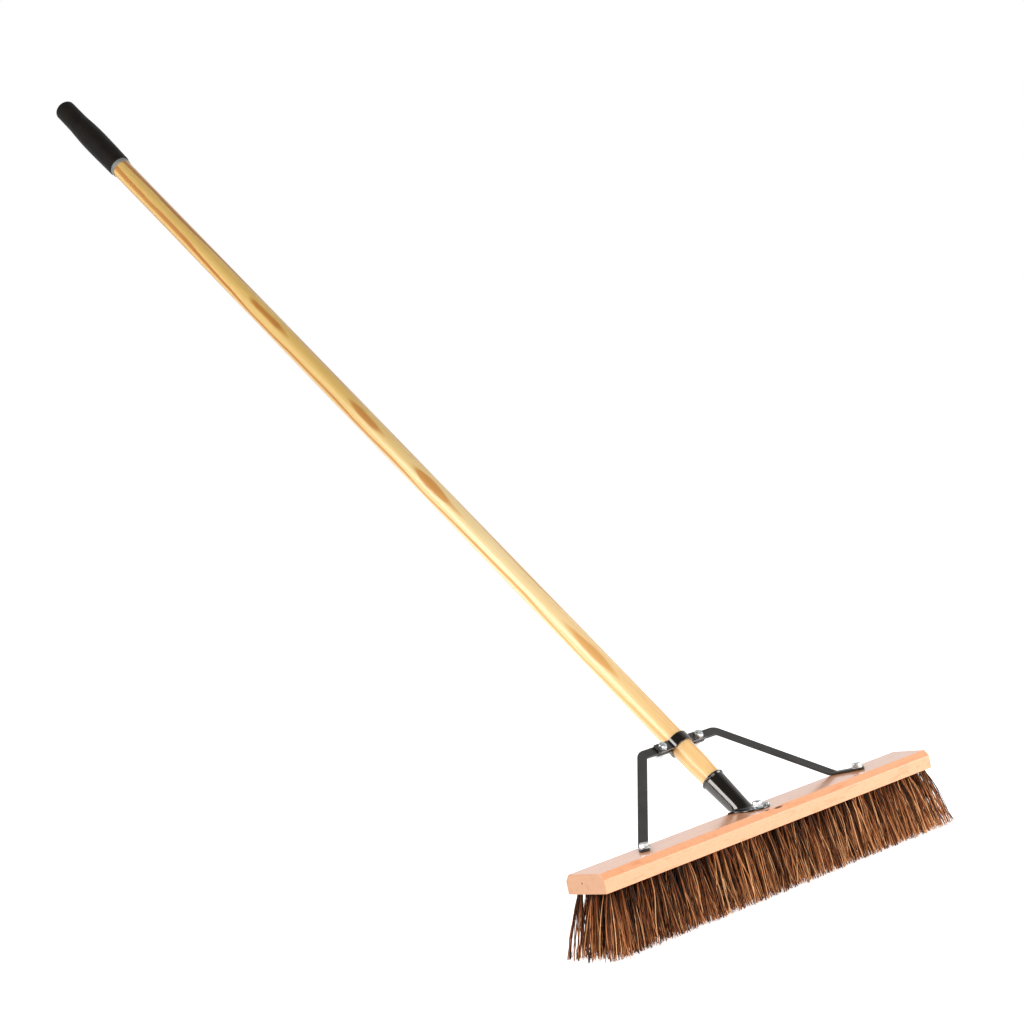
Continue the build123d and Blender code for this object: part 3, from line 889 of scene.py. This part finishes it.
# %% Fasteners
UP = np.array([0.0, 0.0, 1.0])
SHANK_RADIUS, SHANK_TIP_RADIUS = 3.1, 2.4
WASHER_THICKNESS, WASHER_RADIUS, WASHER_HOLE = 1.4, 7.6, 3.15
SCREW_BITE, CLAMP_SHANK = 11.0, 17.0
HEX_HEIGHT, SOCKET_HEX_HEIGHT = 5.0, 6.5
DOME_RADIUS, DOME_HEIGHT, DOME_EDGE = 5.0, 2.6, 0.6


def any_frame(axis):
    """Two directions square to an axis."""
    axis = np.array(axis, float)
    first = ACROSS - axis * (ACROSS @ axis)
    first /= np.linalg.norm(first)
    return first, np.cross(axis, first)


def lathe(seat, axis, heights, radius, turn=0.0):
    """Grid about an axis through seat; radius is rows by columns, in mm."""
    first, second = any_frame(axis)
    angle = np.linspace(0, 2 * pi, radius.shape[1], endpoint=False) + turn
    x, y = radius * np.cos(angle) * MM, radius * np.sin(angle) * MM
    z = np.asarray(heights, float)[:, None] * MM + 0 * x
    return np.array(seat) + x[..., None] * first + y[..., None] * second + z[..., None] * np.array(axis)


def hex_bolt(name, seat, axis, height, shank, flats=11.1, crown=0.45, turn=0.0):
    """Hexagon head on a plain shank; crown is the share of the height where rounding starts."""
    angle = np.linspace(0, 2 * pi, 48, endpoint=False)
    hexagon = (flats / 2) / np.cos(np.mod(angle + pi / 6, pi / 3) - pi / 6)
    levels = np.concatenate([[0, 0.12], np.linspace(crown, 0.97, 7), [1.0]])
    rounding = np.clip((levels - crown) / (1.06 - crown), 0, 1)
    cone = flats * 0.60 * np.sqrt(1 - rounding**2 * 0.72)
    head = np.minimum(hexagon[None, :], cone[:, None])
    head[0] -= 0.25
    head[-1] = np.minimum(head[-1], flats * 0.30)
    stem = np.full((3, 48), SHANK_RADIUS)
    stem[0] = SHANK_TIP_RADIUS
    heights = np.concatenate([[-shank, -shank + 0.8, 0], levels * height])
    grid = lathe(seat, axis, heights, np.concatenate([stem, head]), turn)
    return grid_piece(name, grid, smooth_below=28)


def washer_piece(name, seat):
    """Flat ring lying on seat, with eased edges."""
    ease, outer, inner, top = 0.3, WASHER_RADIUS, WASHER_HOLE, WASHER_THICKNESS
    heights = [0, 0, ease, top - ease, top, top]
    radii = [inner, outer - ease, outer, outer, outer - ease, inner]
    radius = np.repeat(np.array(radii)[:, None], 48, 1)
    return grid_piece(name, lathe(seat, UP, heights, radius), ring=True)


def centre_of(node):
    """Middle of a CAD node's box."""
    low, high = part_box(node)
    return np.array((low + high) / 2)


foot_top = BLOCK_TOP + BAR_THICKNESS * MM
plate_top = BLOCK_TOP + PLATE_THICKNESS * MM
fasteners = []
for side, sign, turn in (("left", -1, 0.2), ("right", 1, 0.55)):
    spot = centre_of(f"foot_washer_{side}")
    seat = np.array([spot[0], spot[1], foot_top])
    ring = washer_piece(f"foot_ring_{side}", seat)
    fasteners.append((ring, f"foot_washer_{side}"))
    seat = seat + UP * WASHER_THICKNESS * MM
    shank = SCREW_BITE + BAR_THICKNESS + WASHER_THICKNESS
    screw = hex_bolt(f"foot_hex_screw_{side}", seat, UP, HEX_HEIGHT, shank, crown=0.5, turn=turn)
    fasteners.append((screw, f"foot_screw_{side}"))
    seat = on_handle(sign * CLAMP_BOLT * MM, CLAMP_HEIGHT * MM, (BAR_THICKNESS + STRAP_THICKNESS) * MM)
    name = f"clamp_hex_bolt_{side}"
    bolt = hex_bolt(name, seat, FRONT, HEX_HEIGHT, CLAMP_SHANK, crown=0.15, turn=turn)
    fasteners.append((bolt, f"clamp_bolt_{side}"))

spot = centre_of("socket_bolt_washer")
seat = np.array([spot[0], spot[1], plate_top])
fasteners.append((washer_piece("socket_ring", seat), "socket_bolt_washer"))
seat = seat + UP * WASHER_THICKNESS * MM
shank = SCREW_BITE + PLATE_THICKNESS + WASHER_THICKNESS
socket_hex = hex_bolt("socket_hex_bolt", seat, UP, SOCKET_HEX_HEIGHT, shank, crown=0.4, turn=0.35)
fasteners.append((socket_hex, "socket_bolt"))

spot = centre_of("socket_screw")
dome = np.linspace(0, pi / 2 * 0.93, 9)[1:]
stem_heights = [-SCREW_BITE - PLATE_THICKNESS, 0, 0, DOME_EDGE]
stem_radii = [SHANK_TIP_RADIUS, SHANK_RADIUS, 4.8, DOME_RADIUS]
screw_heights = np.concatenate([stem_heights, DOME_EDGE + DOME_HEIGHT * np.sin(dome)])
screw_radii = np.concatenate([stem_radii, DOME_RADIUS * np.cos(dome)])
seat = np.array([spot[0], spot[1], plate_top])
screw_grid = lathe(seat, UP, screw_heights, np.repeat(screw_radii[:, None], 48, 1))
fasteners.append((grid_piece("socket_round_screw", screw_grid), "socket_screw"))
for piece, node in fasteners:
    finish_piece(piece, HEAD, [node], zinc)

# %% [markdown]
# ## The bristles
#
# Each tuft is a bundle of coarse fibres, packed tight in its hole and fanning out below.
# Thousands of fibres are worked out together as arrays: a random place in the hole, a
# place in the wider circle at the floor, a curve between the two, and a four-sided tube
# round it. Fibres differ in thickness, bow, tone and length, and a few stray. The outer
# rows lean out and the tufts at the ends flare, so the brush is wider than its block. The
# browns also grow a little lighter from one end of the broom to the other, which is painted
# light, and darker towards the roots, which is painted shade.

# %% Tufts
ROWS, LONG_ROW, TUFT_PITCH, ROW_PITCH = 5, 37, 16.2, 11.75
ROW_FAN, END_FLARE, FLARE_POWER = 1.42, 17.0, 3
FIBRES, SEGMENTS, SIDES = 36, 7, 4
TRIM, ROOT_DEPTH = BLOCK_BOTTOM / MM, 7.0
HOLE_REACH, FLOOR_REACH, END_SPREAD = 3.2, 12.5, 0.50
STRAY_SHARE, STRAY_REACH = 0.035, 22
BOW, WAVE = 2.0, 0.9
# The first number paints light, fibres lighter towards one end of the broom; the second paints shade,
# fibres darker towards their roots.
END_PAINTED_LIGHT, ROOT_PAINTED_SHADE = 0.09, 0.40


def tuft_places(row):
    """Hole centres and floor centres of one row's tufts, in mm, as in the drilled block."""
    count = LONG_ROW - row % 2
    reach = TUFT_PITCH * (LONG_ROW - 1) / 2
    x = (np.arange(count) - (count - 1) / 2) * TUFT_PITCH
    y = np.full(count, (row - 2) * ROW_PITCH)
    tip_x = x + np.sign(x) * END_FLARE * (np.abs(x) / reach) ** FLARE_POWER
    return np.stack([x, y], 1), np.stack([tip_x, y * ROW_FAN], 1)


def fibre_lines(holes, tips, random):
    """Centre lines (fibre, station, xyz): start + (end - start)*travel with travel = share^0.82
    below the hole's mouth, plus two sine bows. A few strays lean far out of their tuft."""
    count = len(holes) * FIBRES
    angle = random.uniform(0, 2 * pi, count)
    reach = np.sqrt(random.uniform(0, 1, count))
    spin = angle + random.normal(0, 0.5, count)
    outward = np.stack([np.cos(angle), np.sin(angle)], 1)
    landed = np.stack([np.cos(spin), np.sin(spin)], 1)
    stray = random.uniform(0, 1, count) < STRAY_SHARE
    root = np.repeat(holes, FIBRES, 0) + outward * (HOLE_REACH * reach)[:, None]
    spread = FLOOR_REACH * reach * random.uniform(0.6, 1.2, count)
    outermost = (np.abs(root[:, 0]) / np.abs(root[:, 0]).max()) ** 8
    spread = spread * (1 + END_SPREAD * outermost)
    tip = np.repeat(tips, FIBRES, 0) + landed * spread[:, None] * [1.0, 0.7]
    tip[:, 0] += stray * random.uniform(-STRAY_REACH, STRAY_REACH, count) * (1 - outermost)
    tip_z = np.minimum(np.abs(random.normal(0, 2.2, count)) + 0.2, 8.0)
    share = np.linspace(0, 1, SEGMENTS + 1)[None, :, None]
    root_z = TRIM + ROOT_DEPTH
    start = np.column_stack([root, np.full(count, root_z)])[:, None, :]
    end = np.column_stack([tip, tip_z])[:, None, :]
    mouth = ROOT_DEPTH / root_z
    travel = np.clip((share - mouth) / (1 - mouth), 0, 1) ** 0.82
    lines = start + (end - start) * np.concatenate([travel, travel, share], 2)
    bow = random.normal(0, BOW, (count, 1, 2)) * np.sin(pi * share) * (1 + stray[:, None, None])
    wave = random.normal(0, WAVE, (count, 1, 2)) * np.sin(2 * pi * share)
    lines[:, :, :2] += (bow + wave) * (share > mouth)
    return lines


def tuft_row_piece(row, random):
    """One row of tufts as a single mesh of four-sided fibres with their tone attribute, which also
    carries painted light and painted shade.
    """
    lines = fibre_lines(*tuft_places(row), random)
    count, stations = lines.shape[:2]
    thickness = random.uniform(0.38, 0.86, count)[:, None] * np.linspace(1.0, 0.72, stations)
    thickness = thickness * random.uniform(0.88, 1.12, thickness.shape)
    turn = random.uniform(0, 2 * pi, count)[:, None] + np.arange(SIDES) * 2 * pi / SIDES
    circle = np.stack([np.cos(turn), np.sin(turn), 0 * turn], -1)
    points = lines[:, :, None, :] + thickness[:, :, None, None] * circle[:, None, :, :]
    points = points * MM
    index = np.arange(count * stations * SIDES).reshape(count, stations, SIDES)
    lower, upper = index[:, :-1], index[:, 1:]
    quads = np.stack([lower, np.roll(lower, -1, 2), np.roll(upper, -1, 2), upper], -1)
    faces = quads.reshape(-1, 4)[:, ::-1].tolist() + index[:, 0].tolist() + index[:, -1, ::-1].tolist()
    mesh = bpy.data.meshes.new(f"bristle_row_{row + 1}")
    mesh.from_pydata(points.reshape(-1, 3).tolist(), [], faces)
    mesh.shade_smooth()
    kind = random.uniform(0, 1, count)
    tone = np.clip(random.normal(0.52, 0.22, count), 0.05, 0.92)
    tone = np.where(kind < 0.12, random.uniform(0.75, 1.0, count), tone)
    tone = np.where(kind > 0.84, random.uniform(0.05, 0.25, count), tone)
    # Painted light: fibres grow lighter towards the +X end of the broom, as if that end were lit more
    # strongly.
    tone = tone + END_PAINTED_LIGHT * lines[:, 0, 0] / np.abs(lines[:, 0, 0]).max()
    # Painted shade: each fibre's tone darkens towards its root, where the block and the other tufts
    # shade it.
    down = np.linspace(0, 1, stations)
    tones_with_painted_light_and_shade = np.clip(tone[:, None] - ROOT_PAINTED_SHADE * (1 - down) ** 3, 0, 1)
    attribute = mesh.attributes.new("tone", "FLOAT", "POINT")
    attribute.data.foreach_set("value", np.repeat(tones_with_painted_light_and_shade.ravel(), SIDES).astype(np.float32))
    piece = bpy.data.objects.new(mesh.name, mesh)
    bpy.context.scene.collection.objects.link(piece)
    return piece


random = np.random.default_rng(24)
for row in range(ROWS):
    bristles = tuft_row_piece(row, random)
    finish_piece(bristles, HEAD, [f"tuft_row_{row + 1}"], fibre)

# %% [markdown]
# ## Pieces that keep their CAD mesh
#
# The block, the nuts and washers behind the clamp, and the wire anchors at the bottom of
# the holes are already the right shape. They only need a finish.

# %% Finishes for CAD nodes
kept = {"broom_block": block_wood, "tuft_staples": zinc}
kept.update({f"clamp_{kind}_{side}": zinc for kind in ("nut", "washer") for side in ("left", "right")})
for node, material in kept.items():
    nodes[node].data.materials.clear()
    nodes[node].data.materials.append(material)
print("finished CAD nodes:", sorted(kept))

# %% [markdown]
# ## Studio
#
# A broom in a catalogue stands in a white room: the back is bright, the side where the
# camera stands is dimmer, and that difference is what draws thin bright rims on black
# steel. The world does this with a ramp over the direction of each ray. The floor glows, as
# a lit white sweep does, so that it meets the background without a line. A soft light at
# the left draws the highlight down the lacquered handle, a broad one in front opens the
# wood and the bristles, and a tall one at the right brings up the block's long side.

# %% World and floor
bpy.context.scene.view_settings.view_transform = "Standard"
ROOM_FRONT, ROOM_BACK, BACKDROP = 0.13, 0.90, 1.0

world = bpy.data.worlds.new("white room")
bpy.context.scene.world = world
world.use_nodes = True
tree = world.node_tree
direction = wire(tree, "ShaderNodeTexCoord").outputs["Generated"]
backward = tuple(Vector((forward.x, forward.y, 0)).normalized())
depth = math_node(tree, "MULTIPLY_ADD", vector_node(tree, "DOT_PRODUCT", direction, backward), 0.5, 0.5)
lighting = ramp(tree, depth, [(0.0, ROOM_FRONT), (0.45, ROOM_FRONT), (0.85, ROOM_BACK)])
seen = wire(tree, "ShaderNodeLightPath").outputs["Is Camera Ray"]
sky = mix_colour(tree, seen, lighting, (BACKDROP, BACKDROP, BACKDROP))
tree.links.new(sky, tree.nodes["Background"].inputs["Color"])

FLOOR_RADIUS, FLOOR_CORNERS, FLOOR_GLOW = 60.0, 96, 0.70
floor_mesh = bpy.data.meshes.new("floor")
around = np.linspace(0, 2 * pi, FLOOR_CORNERS, endpoint=False)
rim = np.stack([FLOOR_RADIUS * np.cos(around), FLOOR_RADIUS * np.sin(around), 0 * around], 1)
floor_mesh.from_pydata(rim.tolist(), [], [list(range(FLOOR_CORNERS))])
floor = bpy.data.objects.new("floor", floor_mesh)
bpy.context.scene.collection.objects.link(floor)
paint, tree, shader = new_material("white sweep")
connect(tree, shader, {
    "Base Color": (0.86, 0.86, 0.86, 1.0),
    "Roughness": 0.9,
    "Specular IOR Level": 0.0,
    "Emission Color": (1.0, 1.0, 1.0, 1.0),
    "Emission Strength": FLOOR_GLOW,
})
floor_mesh.materials.append(paint)
floor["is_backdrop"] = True


# %% Lights
def soft_light(name, target, toward, distance, width, height, power, along=(0, 0, 1)):
    """Rectangular area light at a distance from the target, facing it, its long side nearest
    to the direction along."""
    data = bpy.data.lights.new(name, "AREA")
    data.shape = "RECTANGLE"
    data.size, data.size_y = width, height
    data.energy = power
    light = bpy.data.objects.new(name, data)
    outward = Vector(toward).normalized()
    long_side = (Vector(along) - outward * outward.dot(Vector(along))).normalized()
    turn = Matrix((long_side.cross(outward), long_side, outward)).transposed().to_4x4()
    light.matrix_world = Matrix.Translation(Vector(target) + outward * distance) @ turn
    bpy.context.scene.collection.objects.link(light)


soft_light(
    "left strip", target=(0, 0.02, 0.08), toward=(-0.885, 0.222, 0.408),
    distance=3.2, width=1.7, height=2.0, power=78, along=ALONG,
)
soft_light(
    "front", target=(0, 0.0, 0.1), toward=(-0.30, -0.88, 0.38),
    distance=3.6, width=2.2, height=1.8, power=55,
)
soft_light(
    "right card", target=(0, 0.25, 0.32), toward=(0.68, -0.73, 0.06),
    distance=3.0, width=1.4, height=2.8, power=72, along=ALONG,
)

# %% [markdown]
# ## Sizes
#
# The drawn broom may stand only slightly outside the CAD box, so both boxes are
# measured and their difference is printed.

# %% Sizes
new_low, new_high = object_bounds()
grown = [round((new - old) / MM, 2) for new, old in zip((*new_low, *new_high), (*cad_low, *cad_high))]
print("size difference, mm:", grown)
